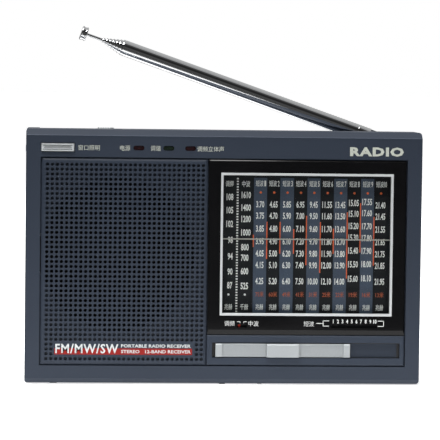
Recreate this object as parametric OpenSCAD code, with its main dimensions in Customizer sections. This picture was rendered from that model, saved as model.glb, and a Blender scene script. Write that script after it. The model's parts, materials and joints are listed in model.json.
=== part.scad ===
// Portable shortwave receiver, standing on its base. X runs to the right seen from the front,
// Y runs from the front to the back and Z runs up from the table. Inside the modules a depth
// is measured back from the front face of the case, and in_case() moves it into place.

/* [Case] */
// Width of the case
case_w = 150; // [150:1:152]
// Height of the case without its feet
case_h = 95.8; // [95.8:0.1:96.4]
// Depth of the two shells together
case_d = 31; // [31:0.5:33]
// Thickness of the outer walls
wall = 1.8; // [1.6:0.1:2]
// Thickness of the front wall
front_wall = 2.6; // [2.6:0.1:2.8]
// Thickness of the panels let into the front
panel_t = 1.6; // [1.5:0.1:1.7]
// Height of the feet
foot_h = 0.5; // [0.4:0.1:0.6]

/* [Grille] */
// Distance from one hole to the next
hole_pitch = 1.835; // [1.8:0.005:1.85]
// Diameter of each hole
hole_d = 1.25; // [1:0.05:1.4]
// Number of columns of holes
hole_columns = 33; // [29:2:33]
// Number of rows of holes
hole_rows = 41; // [37:2:41]
// Radius of the area where the holes go right through
open_r = 29; // [20:0.5:29]

/* [Dial] */
// Height of the pointer at rest
pointer_z = 55.3; // [54:0.1:56]
// Outer width of the silver trim frame
trim_w = 65.6; // [65:0.1:66]
// Outer height of the silver trim frame
trim_h = 54.1; // [53.5:0.1:54.5]
// Width of the trim frame's face
trim_t = 0.9; // [0.7:0.1:1.1]

/* [Band slider] */
// Length of the slider knob
band_knob_l = 51.2; // [50:0.1:51.4]
// How far the slider knob travels through its twelve places
band_travel = 18.7; // [17:0.1:18.8]
// How far the grip stands out from the front face
grip_proud = 1.5; // [1:0.1:1.5]

/* [Tuning] */
// Gear module
gear_m = 0.5; // [0.5:0.1:0.5]
// Teeth on the tuning pinion
pinion_teeth = 12; // [12:1:12]
// Teeth on the capacitor's gear
gear_teeth = 45; // [45:1:45]
// Radius of the tuning knob
tuning_r = 10; // [9:0.5:10]
// Radius of the volume knob
volume_r = 7.5; // [6:0.5:7.5]

/* [Aerial] */
// Angle of the aerial above the horizontal at rest
aerial_rest = 19.1; // [0:0.1:70]
// Outer diameter of the largest tube
tube_d = 6.1; // [6.1:0.1:6.2]
// Difference in diameter from each tube to the next
tube_step = 0.7; // [0.7:0.01:0.7]
// Wall of each tube
tube_wall = 0.3; // [0.25:0.01:0.3]
// Distance from the hinge pin to the largest tube's mouth
mouth_s = 106.1; // [95:0.1:108]
// How far each smaller tube stands out when the aerial is closed
mouth_step = 1.31; // [1:0.01:1.4]

/* [Hidden] */
$fn = 48;

// Case planes
half_w = case_w / 2;
top_z = foot_h + case_h;
stand_proud = 0.3;
front_y = -(case_d + grip_proud + stand_proud) / 2 + grip_proud;
split_d = 17.5;
inner_x = half_w - wall;
inner_top = top_z - wall;
inner_bottom = foot_h + wall;
inner_back = case_d - wall;
cut = 0.5;

// Front recess and its panels
recess_x = 69.5;
recess_low = 7.1;
recess_high = 85.9;
gap = 0.4;
panel_split = -6.3;
window_low = 19.1;
band_high = 18.9;

// Grille and speaker
speaker_x = -40.3;
speaker_z = 49.2;
speaker_r = 32;
hole_x0 = -66.9;
hole_z0 = 83.1;
clamp_at = 24.6;

// Dial
trim_x = 31.4;
trim_z = 53.45;
dial_left = -3;
dial_right = 68;
dial_low = 20.5;
dial_high = 83;
lens_back = front_wall;
pointer_d = 3.2;
scale_d = 4.1;
chassis_d = 4.9;
chassis_top = 85.6;
rail_right = [67.5, 5.2];
rail_left = [-4.4, 4.3];
dot_z = 22.5;
dot_places = [6.2, 38.4];

// Band slider
slot_x0 = -4.1;
slot_x1 = 67.4;
slot_z0 = 10.3;
slot_z1 = 16.1;
band_x0 = -2.8;
stem_x = 22.7;
stem_z = 13.2;

// Indicator row
row_z = 89.5;
led_places = [-32.6, -21.3, -13.1];
button_x = -63.1;
board_d = 7.1;
power_x = -44.95;
power_d = 10.8;
dx_d = 10.5;
dx_z = 88.8;

// Tuning drive
drive_d = 13.5;
drive_z = 54;
pinion_r = gear_m * pinion_teeth / 2;
gear_r = gear_m * gear_teeth / 2;
gear_d = 17;
gear_z = drive_z + sqrt(pow(pinion_r + gear_r, 2) - pow(gear_d - drive_d, 2));
tooth_up = 0.8 * gear_m;
tooth_down = 1.15 * gear_m;
backlash = 0.1;
pressure = 20;
rack_low = 33;
rack_high = 76.5;
left_plate = 62.2;
right_plate = 69.2;
plate_t = 1.2;
plate_back = 20.5;
volume_z = 23;
knob_x0 = 71.2;
knob_x1 = 75.2;

// Main board
main_d = 11.6;
board_t = 1.4;
board_back = main_d + board_t;
board_posts = [[-5.5, 7], [-5.5, 88], [55, 88], [55, 6.5]];
chassis_posts = [[4, 80], [44, 80], [4, 45.6], [44, 45.6]];
ferrite_z = 82;
ferrite_d = 19;

// Battery box, door and kickstand
box_x = [0.6, 59.8];
box_z = [10.4, 42.4];
box_front = 13.5;
box_wall = 1.2;
cell_r = 7.2;
cell_l = 50.5;
cell_d = 22;
cell_places = [19, 33.8];
door_z = [9.4, 43.2];
door_seat = 29.3;
stand_x = -40;
stand_half = 17;
stand_low = 7.4;
stand_axis_z = 73.5;
stand_axis_d = 29.7;
stand_r = 1.1;

// Case screws
post_r = 2.2;
screw_places = [[-70.2, 5.2], [70.2, 5.2], [-69.8, 80], [70.9, 85.6]];

// Jacks on the left side
jack_d = 23.5;
earphone_z = 32;
dc_z = 17;

// Aerial
aerial_x = 61.5;
aerial_d = 25.4;
aerial_z = 92.9;
ferrule_start = 4.4;
ferrule_end = 9.3;
groove_d = aerial_d - 4.8;
groove_z = 89.4;
groove_x0 = -70;
ear_r = 3.1;

// ---------- helpers ----------

module in_case() {
    translate([0, front_y, 0]) children();
}

// A box between two X, two depths and two heights
module block(x0, x1, d0, d1, z0, z1) {
    translate([x0, d0, z0]) cube([x1 - x0, d1 - d0, z1 - z0]);
}

module rod_x(r, x0, x1, d, z) {
    translate([x0, d, z]) rotate([0, 90, 0]) cylinder(r = r, h = x1 - x0);
}

module rod_d(r, d0, d1, x, z) {
    translate([x, d0, z]) rotate([-90, 0, 0]) cylinder(r = r, h = d1 - d0);
}

module rod_z(r, z0, z1, x, d) {
    translate([x, d, z0]) cylinder(r = r, h = z1 - z0);
}

// A flat bar with round ends, long in X, that runs through two depths
module oval_d(length, height, d0, d1, x, z) {
    reach = (length - height) / 2;
    block(x - reach, x + reach, d0, d1, z - height / 2, z + height / 2);
    for (side = [-1, 1]) rod_d(height / 2, d0, d1, x + side * reach, z);
}

// A plate let into the front. Its edges slope back by deep over a width of wide, or low at the
// bottom.
module front_plate(x0, x1, z0, z1, wide, deep, low) {
    intersection() {
        translate([0, 0, z0]) linear_extrude(z1 - z0)
            polygon([[x0, panel_t], [x0, deep], [x0 + wide, 0],
                     [x1 - wide, 0], [x1, deep], [x1, panel_t]]);
        translate([x0, 0, 0]) rotate([90, 0, 90]) linear_extrude(x1 - x0)
            polygon([[panel_t, z0], [deep, z0], [0, z0 + low],
                     [0, z1 - wide], [deep, z1], [panel_t, z1]]);
    }
}

// Half of the angle that a tooth covers at radius rho, by the involute
function tooth_half(teeth, rho) = let(
    pitch_r = gear_m * teeth / 2,
    base_r = pitch_r * cos(pressure),
    at = acos(min(1, base_r / max(rho, base_r))),
    inv_p = tan(pressure) * 180 / PI - pressure,
    inv_r = tan(at) * 180 / PI - at)
    90 / teeth - backlash / pitch_r * 90 / PI + inv_p - inv_r;

function tooth_radii(teeth) = let(p = gear_m * teeth / 2)
    [p - tooth_down, max(p - tooth_down, p * cos(pressure)) + 0.01, p, p + tooth_up];

function gear_points(teeth, phase) = [
    for (k = [0:teeth - 1]) let(mid = phase + k * 360 / teeth)
        for (side = [-1, 1]) let(radii = tooth_radii(teeth))
            for (n = [0:3]) let(
                rho = radii[side < 0 ? n : 3 - n],
                a = mid + side * tooth_half(teeth, rho))
                [rho * cos(a), rho * sin(a)]];

// ---------- case ----------

// The closed outline of both shells: a side profile cut by the front outline
module case_outline(d0, d1) {
    intersection() {
        translate([-half_w, 0, 0]) rotate([90, 0, 90]) linear_extrude(case_w)
            polygon([[0, foot_h + 1.7], [1.2, foot_h], [case_d - 1.5, foot_h],
                     [case_d, foot_h + 1.5], [case_d, top_z - 1.2], [case_d - 1.2, top_z],
                     [3, top_z], [0, top_z - 2.4]]);
        block(-half_w, half_w, d0, d1, 0, top_z + cut);
        union() {
            block(-half_w + 1, half_w - 1, 0, case_d, foot_h, top_z);
            block(-half_w, half_w, 0, case_d, foot_h + 1, top_z - 1);
            for (sx = [-1, 1], z = [foot_h + 1, top_z - 1])
                rod_d(1, 0, case_d, sx * (half_w - 1), z);
        }
    }
}

// Everything cut out of the front wall
module front_openings() {
    block(-recess_x, recess_x, -cut, panel_t, recess_low, recess_high);
    rod_d(speaker_r - 2, panel_t - 0.2, front_wall + cut, speaker_x, speaker_z);
    block(dial_left, dial_right, -cut, front_wall + cut, dial_low, dial_high);
    block(slot_x0, slot_x1, -cut, front_wall + cut, slot_z0, slot_z1);
    block(button_x - 6.4, button_x + 6.4, -cut, front_wall + cut, row_z - 1.7, row_z + 1.7);
    for (x = led_places) oval_d(4.2, 1.8, -cut, front_wall + cut, x, row_z);
}

module side_knob_holes() {
    rod_x(tuning_r + 0.4, inner_x - cut, half_w + cut, drive_d, drive_z);
    rod_x(volume_r + 0.4, inner_x - cut, half_w + cut, drive_d, volume_z);
}

module front_posts() {
    for (p = screw_places) rod_d(post_r, front_wall - 0.2, split_d, p[0], p[1]);
    for (p = board_posts) rod_d(2.2, front_wall - 0.2, main_d, p[0], p[1]);
    for (sx = [-1, 1], sz = [-1, 1])
        rod_d(2, front_wall - 0.2, 3.8, speaker_x + sx * clamp_at, speaker_z + sz * clamp_at);
    for (p = [[-54, 87.3], [-27, row_z]]) rod_d(1.6, front_wall - 0.2, board_d, p[0], p[1]);
}

module front_pilots() {
    for (p = screw_places) rod_d(1.1, 9, split_d + cut, p[0], p[1]);
    for (p = board_posts) rod_d(0.9, 6, main_d + cut, p[0], p[1]);
    for (sx = [-1, 1], sz = [-1, 1])
        rod_d(0.8, 2.2, 4, speaker_x + sx * clamp_at, speaker_z + sz * clamp_at);
}

module front_shell() {
    color("#3a414d") in_case() difference() {
        union() {
            difference() {
                case_outline(0, split_d);
                block(-inner_x, inner_x, front_wall, split_d + cut, inner_bottom, inner_top);
            }
            front_posts();
        }
        front_openings();
        front_pilots();
        side_knob_holes();
        block(-48.3, -38.6, power_d - 1.7, power_d + 1.7, inner_top - cut, top_z + cut);
        block(-half_w - cut, -inner_x + cut, dx_d - 2.3, dx_d + 4.8, dx_z - 1.45, dx_z + 1.45);
    }
}

// Walls, boxes and bosses that the rear shell carries inside
module rear_inside() {
    block(-half_w + cut, half_w - cut, groove_d - wall, case_d - 0.1, groove_z - wall, top_z - 1.5);
    block(box_x[0], box_x[1], box_front, inner_back + 0.2, box_z[0], box_z[1]);
    block(0, half_w - 0.1, door_seat - 1.5, case_d - 0.1, door_z[0] - 1.8, door_z[1] + 1.2);
    block(stand_x - stand_half - 3, stand_x + stand_half + 3, 26.7, case_d - 0.1, 5.2, 76.6);
    rod_z(4.3, 80, groove_z - 1, aerial_x, aerial_d);
    for (p = screw_places) rod_d(post_r, split_d, inner_back + 0.2, p[0], p[1]);
}

module door_cutouts() {
    edge = half_w + 1;
    block(1, edge, door_seat, case_d + cut, door_z[0], door_z[1]);
    block(1, edge, door_seat, 30.2, door_z[0] - 0.8, door_z[1] + 0.8);
    block(box_x[0] + box_wall, box_x[1] - box_wall, box_front + box_wall, case_d,
          box_z[0] + box_wall, box_z[1] - box_wall);
}

module stand_cutouts() {
    side = stand_half + 0.2;
    block(stand_x - side, stand_x + side, 28.2, case_d + cut, 6.7, stand_axis_z + 1.6);
    block(stand_x - 6, stand_x + 6, 28.2, case_d + cut, 4.2, 7);
    rod_x(0.98, stand_x - stand_half - 2, stand_x + stand_half + 2, stand_axis_d, stand_axis_z);
}

module aerial_cutouts() {
    block(groove_x0, half_w + cut, groove_d, case_d + cut, groove_z, top_z + cut);
    rod_z(4.3, groove_z - 2.1, groove_z + cut, aerial_x, aerial_d);
    rod_z(2.05, 79, groove_z, aerial_x, aerial_d);
}

module jack_holes() {
    rod_x(3.1, -half_w - cut, -inner_x + cut, jack_d, earphone_z);
    rod_x(4.1, -half_w - cut, -inner_x + cut, jack_d, dc_z);
}

module rear_shell() {
    color("#353b47") in_case() difference() {
        union() {
            difference() {
                case_outline(split_d, case_d);
                block(-inner_x, inner_x, split_d - cut, inner_back, inner_bottom, inner_top);
            }
            intersection() {
                rear_inside();
                union() {
                    case_outline(split_d, case_d);
                    block(0, 62, box_front, split_d + cut, box_z[0], box_z[1]);
                }
            }
        }
        door_cutouts();
        stand_cutouts();
        aerial_cutouts();
        jack_holes();
        side_knob_holes();
        for (p = screw_places) {
            rod_d(1.4, split_d - cut, case_d + cut, p[0], p[1]);
            rod_d(2.1, case_d - 1.6, case_d + cut, p[0], p[1]);
        }
    }
}

// A fine line of feet: the middle one runs from front to back
module feet() {
    color("#15161a") in_case() {
        block(-65.45, -62.75, 4, 8, 0, foot_h);
        block(-1.15, 1.15, 3, 28, 0, foot_h);
        block(13.6, 15.2, 4, 8, 0, foot_h);
        for (x = [-66, 62]) block(x, x + 4, 24, 28, 0, foot_h);
    }
}

// Screw with a round head at the back: head from d1 - head_l to d1
module screw(x, z, r, d0, d1, head_r, head_l) {
    rod_d(r, d0, d1 - head_l, x, z);
    difference() {
        rod_d(head_r, d1 - head_l, d1, x, z);
        for (turn = [0, 90]) translate([x, d1, z]) rotate([0, turn, 0])
            cube([head_r * 1.3, head_l, head_r * 0.3], center = true);
    }
}

module screws() {
    color("#2b2c30") in_case() {
        for (p = screw_places) screw(p[0], p[1], 1.1, 10, case_d - 0.3, 1.9, 1.3);
        for (p = board_posts) screw(p[0], p[1], 0.9, 7, board_back + 1.1, 1.7, 1.1);
        for (p = chassis_posts) screw(p[0], p[1], 0.8, 8, board_back + 1, 1.5, 1);
        for (sx = [-1, 1], sz = [-1, 1]) {
            x = speaker_x + sx * clamp_at;
            z = speaker_z + sz * clamp_at;
            rod_d(3.4, 3.8, 4.3, x, z);
            screw(x, z, 0.8, 2.4, 5.3, 1.6, 1);
        }
    }
}

// ---------- front panels ----------

// True where the printed pad takes the place of holes
function on_pad(col, row) = row >= 37 && row <= 39 && col >= 2 && col <= hole_columns - 3;

function over_speaker(x, z) = norm([x - speaker_x, z - speaker_z]) < open_r;

module grille_panel() {
    color("#3b424e") in_case() difference() {
        front_plate(-recess_x + gap, panel_split - 0.2, recess_low + gap, recess_high - gap,
                    0.9, 0.45, 0.9);
        for (col = [0:hole_columns - 1], row = [0:hole_rows - 1]) if (!on_pad(col, row)) {
            x = hole_x0 + col * hole_pitch;
            z = hole_z0 - row * hole_pitch;
            depth = over_speaker(x, z) ? panel_t + cut : 0.9;
            rod_d(hole_d / 2, -cut, depth, x, z, $fn = 16);
        }
    }
}

module dust_cloth() {
    color("#101114") in_case() rod_d(speaker_r - 2.1, panel_t, panel_t + 0.3, speaker_x, speaker_z);
}

module window_panel() {
    color("#0b0b0d") in_case() difference() {
        front_plate(panel_split + 0.2, recess_x - gap, window_low, recess_high - gap,
                    0.6, 0.4, 1.9);
        block(trim_x - trim_w / 2, trim_x + trim_w / 2, -cut, panel_t + cut,
              trim_z - trim_h / 2, trim_z + trim_h / 2);
        block(5.2, 8.9, -cut, panel_t + cut, dot_z - 0.55, dot_z + 0.55);
        block(41.2, 59, -cut, panel_t + cut, dot_z - 0.55, dot_z + 0.55);
    }
}

module window_trim() {
    color("#cacdce") in_case() difference() {
        block(trim_x - trim_w / 2, trim_x + trim_w / 2, -0.15, panel_t,
              trim_z - trim_h / 2, trim_z + trim_h / 2);
        block(trim_x - trim_w / 2 + trim_t, trim_x + trim_w / 2 - trim_t, -cut, panel_t + cut,
              trim_z - trim_h / 2 + trim_t, trim_z + trim_h / 2 - trim_t);
    }
}

module dial_lens() {
    color("#c8d4dc", 0.25) in_case() block(-2.2, 65, panel_t, lens_back, 25.6, 81.3);
}

module dial_scale() {
    color("#17181a") in_case() block(-2.2, 63.6, scale_d, chassis_d, 25, 82);
}

module band_plate() {
    color("#454e5c") in_case() difference() {
        front_plate(panel_split + 0.2, recess_x - gap, recess_low + gap, band_high,
                    0.5, 0.3, 0.5);
        block(slot_x0, slot_x1, -cut, panel_t + cut, slot_z0, slot_z1);
    }
    // The floor of the slot, let into the case's own opening
    color("#39404a") in_case() difference() {
        block(slot_x0, slot_x1, panel_t, front_wall, slot_z0, slot_z1);
        block(stem_x - 3, stem_x + 3 + band_travel, panel_t - cut, front_wall + cut,
              stem_z - 1.4, stem_z + 1.4);
    }
}

// ---------- dial ----------

module dial_chassis() {
    color("#e8e6dc") in_case() difference() {
        union() {
            block(-3.2, 63.6, chassis_d, chassis_d + 1, 20, chassis_top);
            for (p = chassis_posts) rod_d(1.8, chassis_d + 0.8, main_d, p[0], p[1]);
            for (z = [20, chassis_top - 2]) {
                block(-5.4, -3.1, 3.6, chassis_d + 1, z, z + 2);
                block(63.5, 68.7, 4, chassis_d + 1.5, z, z + 2);
            }
        }
        for (p = chassis_posts) rod_d(0.8, 7.5, main_d + cut, p[0], p[1]);
        rod_z(0.5, 19, 87, rail_left[0], rail_left[1]);
        rod_z(0.6, 19, 87, rail_right[0], rail_right[1]);
    }
}

module dial_lamps() {
    color("#f4e9c0") in_case() for (x = [8, 50]) {
        rod_x(1.1, x, x + 5, 3.75, 83.6);
        rod_x(0.8, x + 5, x + 6.4, 3.75, 83.6);
    }
}

module pointer_rails() {
    color("#a9acb0") in_case() {
        rod_z(0.5, 20, chassis_top, rail_left[0], rail_left[1]);
        rod_z(0.6, 20, chassis_top, rail_right[0], rail_right[1]);
    }
}

module pointer() {
    color("#a3a294") in_case() {
        block(-3.6, 63.9, pointer_d, pointer_d + 0.4, pointer_z - 0.23, pointer_z + 0.23);
        block(63.9, 66.3, pointer_d, pointer_d + 1.4, pointer_z - 1.2, pointer_z + 1.2);
        difference() {
            block(-5.3, -3.6, pointer_d, 5.1, pointer_z - 2, pointer_z + 2);
            rod_z(0.57, pointer_z - 3, pointer_z + 3, rail_left[0], rail_left[1]);
        }
    }
}

// Rack teeth point to the back and mesh with the pinion's front; the rack's gap is at drive_z
module rack_teeth() {
    pitch = PI * gear_m;
    half = pitch / 4 - backlash / 2;
    slope = tan(pressure);
    line_d = drive_d - pinion_r;
    count = floor((rack_high - drive_z) / pitch);
    low_count = floor((drive_z - rack_low) / pitch);
    for (k = [-low_count:count - 1]) {
        mid = drive_z + (k + 0.5) * pitch;
        translate([66.4, 0, 0]) rotate([90, 0, 90]) linear_extrude(2.2)
            polygon([[line_d - tooth_down - 0.2, mid - half - slope * tooth_down],
                     [line_d - tooth_down, mid - half - slope * tooth_down],
                     [line_d + tooth_up, mid - half + slope * tooth_up],
                     [line_d + tooth_up, mid + half - slope * tooth_up],
                     [line_d - tooth_down, mid + half + slope * tooth_down],
                     [line_d - tooth_down - 0.2, mid + half + slope * tooth_down]]);
    }
}

module pointer_carriage() {
    color("#d8d6cc") in_case() {
        difference() {
            block(66.3, 68.7, pointer_d, 7.7, pointer_z - 5, pointer_z + 5);
            rod_z(0.67, pointer_z - 6, pointer_z + 6, rail_right[0], rail_right[1]);
        }
        block(66.4, 68.6, 7.6, drive_d - pinion_r - tooth_down, rack_low, rack_high);
        rack_teeth();
    }
}

// ---------- band slider ----------

module band_knob() {
    last = band_x0 + band_knob_l;
    cap = 2.45;
    grip = [16.6, 28.8];
    color("#abb1b4") in_case() difference() {
        union() {
            block(band_x0, last, 0.2, 1.3, slot_z0 + 0.35, slot_z1 - 0.35);
            for (x = [band_x0, last - cap]) front_cap(x, x + cap, -0.25);
            front_cap(grip[0], grip[1], -grip_proud);
            block(stem_x - 2, stem_x + 2, 1.2, 5, stem_z - 1, stem_z + 1);
        }
        for (x = [band_x0 + cap + 0.6:1.15:last - cap - 0.4])
            if (x < grip[0] - 0.7 || x > grip[1] + 0.3)
                block(x, x + 0.4, -cut, 0.55, slot_z0, slot_z1);
    }
}

// A raised cap on the slider with a chamfered top edge
module front_cap(x0, x1, front) {
    low = slot_z0 + 0.35;
    high = slot_z1 - 0.35;
    translate([x0, 0, 0]) rotate([90, 0, 90]) linear_extrude(x1 - x0)
        polygon([[1.3, low], [front + 0.3, low], [front, low + 0.3],
                 [front, high - 0.6], [front + 0.6, high], [1.3, high]]);
}

module band_indicator() {
    color("#141518") in_case() {
        block(3.5, 44, 2.9, 3.5, 21.3, 23.7);
        block(stem_x - 3, stem_x + 3, 2.9, 3.5, stem_z + 1, 21.4);
        for (x = dot_places) rod_d(0.45, 2.1, 3, x, dot_z, $fn = 24);
    }
}

module band_switch() {
    color("#b9bcc0") in_case() difference() {
        block(-2, 59.5, 6.4, main_d, 9.2, 17.5);
        block(15, 49, 6, 9.2, stem_z - 1.2, stem_z + 1.2);
    }
}

module band_switch_slider() {
    color("#2a2b2e") in_case() block(19, 26.4, 5, 8.8, stem_z - 1, stem_z + 1);
}

// ---------- buttons, switches and lamps ----------

module light_button() {
    color("#b4b9ba") in_case() {
        front = -0.4;
        difference() {
            block(button_x - 6.1, button_x + 6.1, front, 2.8, row_z - 1.4, row_z + 1.4);
            for (z = [-1:0.4:1])
                block(button_x - 5.4, button_x + 5.4, front - cut, front + 0.12,
                      row_z + z - 0.09, row_z + z + 0.09);
        }
        block(button_x - 7.1, button_x + 7.1, 2.7, 3.3, row_z - 2.4, row_z + 2.4);
        rod_d(1.6, 3.2, 4.6, button_x, row_z);
    }
}

module power_knob() {
    color("#9fa5ab") in_case() difference() {
        union() {
            block(power_x - 3.05, power_x + 3.05, power_d - 1.4, power_d + 1.4, 93.8, top_z + 0.6);
            block(power_x - 1.6, power_x + 1.6, power_d - 0.8, power_d + 0.8, 90, 94);
        }
        for (x = [-2.2:0.9:2.2])
            block(power_x + x - 0.2, power_x + x + 0.2, 8, 14, top_z + 0.3, top_z + 1);
    }
}

module dx_knob() {
    color("#8f9aa8") in_case() {
        block(-half_w - 0.2, -73.4, dx_d - 2, dx_d + 2, dx_z - 1.15, dx_z + 1.15);
        block(-73.5, -70.6, dx_d - 1, dx_d + 1, dx_z - 0.7, dx_z + 0.7);
    }
}

// The push switch behind the light button and the two slide switches
module small_switches() {
    color("#c3c5c8") in_case() {
        difference() {
            block(button_x - 3, button_x + 3, 4.2, board_d, row_z - 3, row_z + 3);
            rod_d(1.7, 4, 5.8, button_x, row_z);
        }
        difference() {
            block(-51, -38.6, board_d + 1.2, 13.3, 86.3, 92.3);
            block(power_x - 2, -39.9, power_d - 1, power_d + 1, 89.6, 93);
        }
        difference() {
            block(-inner_x, -67.6, 6.5, 17, 85.9, 91.7);
            block(-inner_x - 1, -70.2, dx_d - 1.4, dx_d + 3.9, dx_z - 0.9, dx_z + 0.9);
        }
    }
}

module led(x) {
    in_case() {
        oval_d(3.9, 1.5, 0.35, 3, x, row_z);
        oval_d(4.8, 2.4, 2.8, 5, x, row_z);
        for (side = [-1, 1]) rod_d(0.25, 4.8, board_d, x + side * 1.27, row_z, $fn = 16);
    }
}

module led_power() { color("#4a1518") led(led_places[0]); }
module led_tuning() { color("#1c3a2c") led(led_places[1]); }
module led_stereo() { color("#6a1a1c") led(led_places[2]); }

module circuit_boards() {
    color("#2f6b3f") in_case() {
        difference() {
            block(-8, 60, main_d, board_back, 4, 91);
            block(49.2, 61, main_d - 1, board_back + 1, 57.8, 77.8);
            for (p = board_posts) rod_d(1, main_d - 1, board_back + 1, p[0], p[1]);
            for (p = chassis_posts) rod_d(0.9, main_d - 1, board_back + 1, p[0], p[1]);
        }
        block(-66.5, -8.3, board_d, board_d + 1.2, 85.5, 93);
    }
}

// ---------- tuning drive and volume ----------

module knob(r, z, flutes) {
    in_case() difference() {
        union() {
            rod_x(r, knob_x0, knob_x1 - 0.4, drive_d, z);
            rod_x(r - 0.5, knob_x1 - 0.5, knob_x1, drive_d, z);
            rod_x(3, knob_x0 - 0.5, knob_x0 + 0.2, drive_d, z);
        }
        for (k = [0:flutes - 1]) translate([0, drive_d, z]) rotate([k * 360 / flutes, 0, 0])
            translate([74, 0, r + 0.1]) rotate([0, 90, 0]) cylinder(r = 0.45, h = 2, $fn = 16);
        rod_x(r * 0.24, knob_x1 - 0.7, knob_x1 + 1, drive_d, z + r * 0.58);
        rod_x(1.5, knob_x0 - 1, 74, drive_d, z);
    }
}

module tuning_knob() { color("#4a5260") knob(tuning_r, drive_z, 36); }
module volume_knob() {
    color("#4a5260") knob(volume_r, volume_z, 28);
    color("#9a9da1") in_case() rod_x(1.5, 66, 74, drive_d, volume_z);
}

// The pinion has a tooth that points to the front, at the rack's gap
module tuning_shaft() {
    color("#c9a94e") in_case() {
        rod_x(1.5, 61.4, 74, drive_d, drive_z);
        translate([63.9, drive_d, drive_z]) rotate([90, 0, 90]) linear_extrude(5)
            polygon(gear_points(pinion_teeth, 180));
    }
}

// The gear's phase follows from the pinion's tooth nearest the line of centres
function gear_phase() = let(
    line = atan2(gear_z - drive_z, gear_d - drive_d),
    step = 360 / pinion_teeth,
    off = (180 - line) - round((180 - line) / step) * step)
    line + 180 - (off * pinion_r + 90 * gear_m) / gear_r;

module tuning_gear() {
    color("#e5e2d6") in_case() {
        difference() {
            union() {
                translate([64, gear_d, gear_z]) rotate([90, 0, 90]) linear_extrude(1.8)
                    polygon(gear_points(gear_teeth, gear_phase()));
                rod_x(4, 63.7, 66.2, gear_d, gear_z);
            }
            for (k = [0:5]) translate([60, gear_d, gear_z]) rotate([k * 60, 0, 0])
                translate([0, 0, 7.2]) rotate([0, 90, 0]) cylinder(r = 2, h = 10);
        }
        rod_x(2.5, 52, 63.8, gear_d, gear_z);
    }
}

module tuning_capacitor() {
    color("#dfe3e6", 0.9) in_case() difference() {
        union() {
            block(50.2, left_plate, gear_d - 9, gear_d + 9, gear_z - 9, gear_z + 9);
            for (sz = [-1, 1]) rod_d(0.9, 6.1, gear_d - 8.8, 53, gear_z + sz * 6, $fn = 24);
        }
        rod_x(2.57, 51.9, 63, gear_d, gear_z);
    }
}

module drive_bracket() {
    color("#8b9095") in_case() difference() {
        union() {
            for (x = [left_plate, right_plate]) block(x, x + plate_t, 7, plate_back, 46, 82.6);
            for (z = [46, 81])
                block(left_plate, right_plate + plate_t, plate_back - 4, plate_back, z, z + 1.6);
            for (z = [47.2, 79]) block(56, left_plate + 0.2, board_back, board_back + plate_t, z, z + 3.4);
        }
        rod_x(1.56, 60, 72, drive_d, drive_z);
        rod_x(3, 60, 64, gear_d, gear_z);
    }
}

module volume_pot() {
    color("#55585c") in_case() difference() {
        union() {
            rod_x(6, 60.2, 66, drive_d, volume_z);
            rod_x(2.4, 65.8, 69, drive_d, volume_z);
            for (dz = [-4, 0, 4]) block(58, 60.4, board_back, board_back + 0.5,
                                        volume_z + dz - 0.6, volume_z + dz + 0.6);
        }
        rod_x(1.57, 65, 70, drive_d, volume_z);
    }
}

// ---------- electronics ----------

module chip(x, z, w, h, pins) {
    block(x, x + w, board_back + 0.2, board_back + 2, z, z + h);
    step = (w - 1) / (pins - 1);
    for (k = [0:pins - 1], side = [[-1, 0.2], [h - 0.2, h + 1]])
        block(x + 0.3 + k * step, x + 0.7 + k * step, board_back, board_back + 0.8,
              z + side[0], z + side[1]);
}

module chips() {
    color("#1a1a1c") in_case() {
        chip(6, 60, 12, 7, 12);
        chip(26, 50, 9, 5, 8);
    }
}

module coil_cans() {
    color("#b8babd") in_case() for (p = [[-6, 69.5], [4, 70.5], [22, 60], [32, 60], [-6, 48]]) difference() {
        block(p[0], p[0] + 7, board_back, board_back + 9.5, p[1], p[1] + 7);
        rod_d(1.8, board_back + 8, board_back + 10, p[0] + 3.5, p[1] + 3.5);
    }
}

module electrolytics() {
    color("#2d3f66") in_case() for (p = [[16, 53], [39, 53], [42, 64], [8, 51], [-2, 62]])
        rod_d(3, board_back, board_back + 8, p[0], p[1]);
}

module ferrite_rod() {
    color("#2e2d2c") in_case() rod_x(4, -4, 46, ferrite_d, ferrite_z);
}

// The winding on the rod, with a holder at each end that stands on the board
module ferrite_coil() {
    color("#a8622e") in_case() difference() {
        union() {
            rod_x(5, 14, 30, ferrite_d, ferrite_z);
            for (x = [12, 30]) block(x, x + 2.2, board_back, ferrite_d + 5, ferrite_z - 4.6, ferrite_z + 5);
        }
        rod_x(4, 10, 34, ferrite_d, ferrite_z);
    }
}

// ---------- speaker ----------

module at_speaker() {
    in_case() translate([speaker_x, 0, speaker_z]) rotate([-90, 0, 0]) children();
}

module speaker_frame() {
    color("#7d8187") at_speaker() difference() {
        rotate_extrude() polygon([[28.5, front_wall], [speaker_r, front_wall], [speaker_r, 3.8],
                                  [30, 3.8], [15.5, 12.2], [6, 12.2], [6, 11.2], [15.2, 11.2],
                                  [28.5, 3.6]]);
        for (turn = [45:90:315]) rotate([0, 0, turn]) translate([16.5, -6, 2.7]) cube([9, 12, 12]);
    }
}

module speaker_magnet() {
    color("#4c4d50") at_speaker() {
        translate([0, 0, 12.2]) cylinder(r = 15.5, h = 1.2);
        translate([0, 0, 13.4]) cylinder(r = 14, h = 6);
        translate([0, 0, 19.4]) cylinder(r = 13, h = 1.6);
    }
}

module speaker_cone() {
    color("#1b1b1d") at_speaker() {
        rotate_extrude() polygon([[28.4, 2.9], [28.4, 3.3], [26, 3.9], [7, 10.6], [0, 8.6],
                                  [0, 8.2], [6.8, 10], [25.6, 3.4]]);
    }
}

// ---------- jacks ----------

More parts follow.
